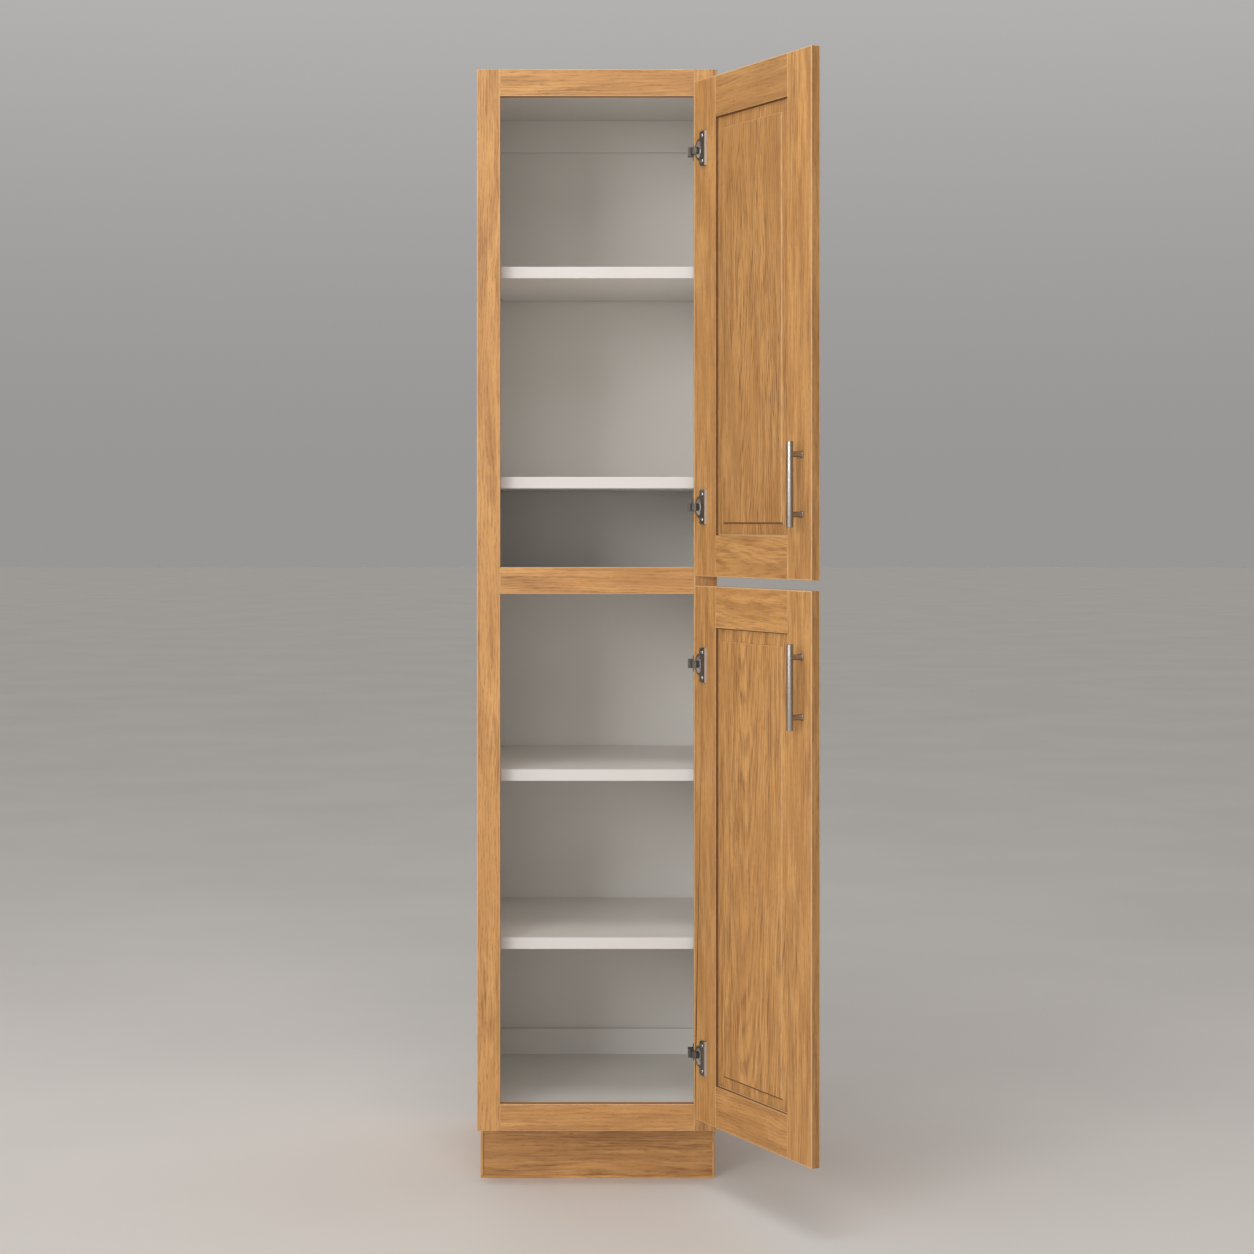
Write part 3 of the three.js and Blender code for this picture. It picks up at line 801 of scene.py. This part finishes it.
def build_hinges(doors, cup_finish, arm_finish, base_finish, cup_highlight, screw_finish, dark):
    """The cup's well and its side towards the free edge carry a pale painted highlight, the rest of it is
    dark, and the arm is pale near its pin and dark at its base."""
    screw = screw_mesh(screw_finish, dark)
    for door in doors:
        for place in ("top", "bottom"):
            label = f"{door.which}_{place}"
            cup, arm, pin = (f"hinge_{part}_{label}" for part in ("cup", "arm", "pin"))
            ease_cad(cup, METAL_ROUND, cup_finish, cup_highlight)
            ease_cad(arm, METAL_ROUND, base_finish, arm_finish)
            ease_cad(pin, METAL_ROUND / 2, arm_finish)
            low, high = door.box(cup)
            x, z = door.hinge_edge - SCREW_FROM_EDGE, (low.z + high.z) / 2
            well = door.to_world @ Vector((door.hinge_edge - WELL_FROM_EDGE, door.inner, z))
            axis = door.to_world @ Vector((0, 0, z))

            # faces in the cup's well or facing the free edge take the pale painted highlight
            def in_cup(face, door=door, well=well):
                inside = door.to_local.to_3x3() @ (face.center - well)
                deep = inside.y < -WELL_DEPTH and math.hypot(inside.x, inside.z) < WELL_RADIUS
                return int(deep or face.normal.dot(door.along) < -0.5)

            def in_arm(face, axis=axis):
                return int((face.center - axis).xy.length < ARM_PALE)

            finish_faces(cup, in_cup)
            finish_faces(arm, in_arm)
            for end, name in ((1, "a"), (-1, "b")):
                seat = Matrix.Translation((x, high.y - SCREW_SINK, z + end * SCREW_SPACING / 2))
                matrix = door.to_world @ seat @ Matrix.Rotation(math.radians(-90), 4, "X")
                place_screw(f"hinge_screw_{label}_{name}", screw, matrix, door.body)


def build_pins(finish):
    for name in sorted(nodes):
        if "_pin_" in name and name.startswith("shelf"):
            ease_cad(name, METAL_ROUND, finish)


# ==== stage ===================================================================================
def build_stage():
    bm = bmesh.new()
    bmesh.ops.create_grid(bm, x_segments=1, y_segments=1, size=STAGE_HALF)
    add_mesh("floor", bm, [matt("floor_paint", FLOOR_COLOUR, 0.7)], None)


def area_light(name, place, target, size, power):
    data = bpy.data.lights.new(name, "AREA")
    data.shape = "RECTANGLE"
    data.size, data.size_y = size
    data.energy = power
    lamp = new_object(name, data)
    lamp.location = place
    lamp.rotation_euler = (Vector(target) - Vector(place)).to_track_quat("-Z", "Y").to_euler()


def build_lights():
    """A large soft lamp from the left front, a weaker one from straight ahead, one from high up
    in front, one from the ceiling close by, which reaches in over the shelves, and one from the
    left."""
    middle = (0.0, 0.0, 1.0)
    area_light("key", (-3.4, -6.2, 2.6), middle, (2.6, 2.6), 148)
    area_light("fill", (0.3, -7.0, 1.6), middle, (3.5, 3.0), 32)
    area_light("overhead", (0.3, -5.5, 4.4), (0.0, 0.0, 0.8), (3.5, 2.0), 50)
    area_light("ceiling", (-0.4, -2.0, 4.4), (0.0, -0.1, 0.6), (2.0, 1.2), 34)
    area_light("side", (-5.0, -2.8, 2.0), middle, (2.5, 3.0), 44)


def build_world():
    """Pale light from above and behind, and dimmer light from the front. The horizon is as bright
    all round, so that the floor runs into it."""
    g = Graph(bpy.data.worlds.new("studio"))
    place = g.node("TexCoord").outputs["Generated"]
    height = g.span(g.dot(place, Z), 0.0, 0.45)
    behind = g.span(g.dot(place, Y), -0.5, 0.6, 0.45 - HORIZON, 1.55 - HORIZON)
    strength = g.math("MULTIPLY", g.math("MULTIPLY_ADD", height, behind, HORIZON), SKY)
    background = g.node("Background", {"Color": (1.0, 0.985, 0.965, 1.0), "Strength": strength})
    g.tree.links.new(background.outputs[0], g.node("OutputWorld").inputs[0])
    bpy.context.scene.world = g.owner


def build_camera():
    data = bpy.data.cameras.new("camera")
    data.lens = LENS
    data.shift_y = SHIFT_Y
    data.clip_end = FAR
    camera = new_object("camera", data)
    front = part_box("frame_stile_left")[0].y
    camera.location = (CAMERA_RIGHT, front - CAMERA_BACK, EYE_HEIGHT)
    camera.rotation_euler = (math.radians(90), 0, 0)
    bpy.context.scene.camera = camera


def build():
    white = white_board("white_melamine", (0.815, 0.79, 0.75), (0.79, 0.765, 0.725), 0.38)
    shelf_white = white_board("white_shelf", (0.86, 0.835, 0.80), (0.84, 0.815, 0.78), 0.36)
    band = white_board("white_edge_band", (0.745, 0.72, 0.70), (0.725, 0.70, 0.68), 0.30)
    # plain oak with a painted highlight for rounded edges, and plain oak with painted shade for recesses
    arris = plain_oak("oak_arris", *OAK_ARRIS_HIGHLIGHT)
    groove_shade = plain_oak("oak_painted_shade", *OAK_GROOVE_SHADE)
    bare = bare_board("bare_board", (0.56, 0.42, 0.27), (0.38, 0.26, 0.15), 380)
    hardboard = bare_board("hardboard", (0.40, 0.27, 0.16), (0.30, 0.19, 0.11), 700)
    pull_finish = metal("brushed_nickel", (0.46, 0.425, 0.385), (0.34, 0.31, 0.28), (3800, 3800, 60), 0.27)
    cup_finish = metal("hinge_nickel", (0.46, 0.43, 0.39), (0.34, 0.31, 0.28), (900, 900, 900), 0.34)
    arm_finish = metal("arm_nickel", (0.40, 0.375, 0.345), (0.30, 0.28, 0.255), (900, 900, 900), 0.34)
    base_finish = metal("hinge_base_nickel", (0.17, 0.155, 0.14), (0.12, 0.11, 0.10), (900, 900, 900), 0.42)
    # a pale matt painted highlight for the hinge cups' wells and their sides towards the free edge
    cup_highlight = matt("cup_painted_highlight", (0.50, 0.465, 0.42), 0.4)
    screw_finish = metal("screw_zinc", (0.80, 0.78, 0.75), (0.68, 0.66, 0.63), (1500, 1500, 1500), 0.25)
    pin_finish = metal("pin_nickel", (0.45, 0.43, 0.41), (0.33, 0.32, 0.30), (900, 900, 900), 0.35)
    dark = metal("recess_shadow", (0.10, 0.095, 0.09), (0.06, 0.055, 0.05), (900, 900, 900), 0.6)
    build_camera()
    build_stage()
    build_lights()
    build_world()
    build_carcass(white, shelf_white, band, bare, hardboard)
    build_face_frame(arris)
    build_toe_kick()
    doors = build_doors(pull_finish, arris, groove_shade)
    build_hinges(doors, cup_finish, arm_finish, base_finish, cup_highlight, screw_finish, dark)
    build_pins(pin_finish)


build()
bpy.context.scene.view_settings.view_transform = "Standard"
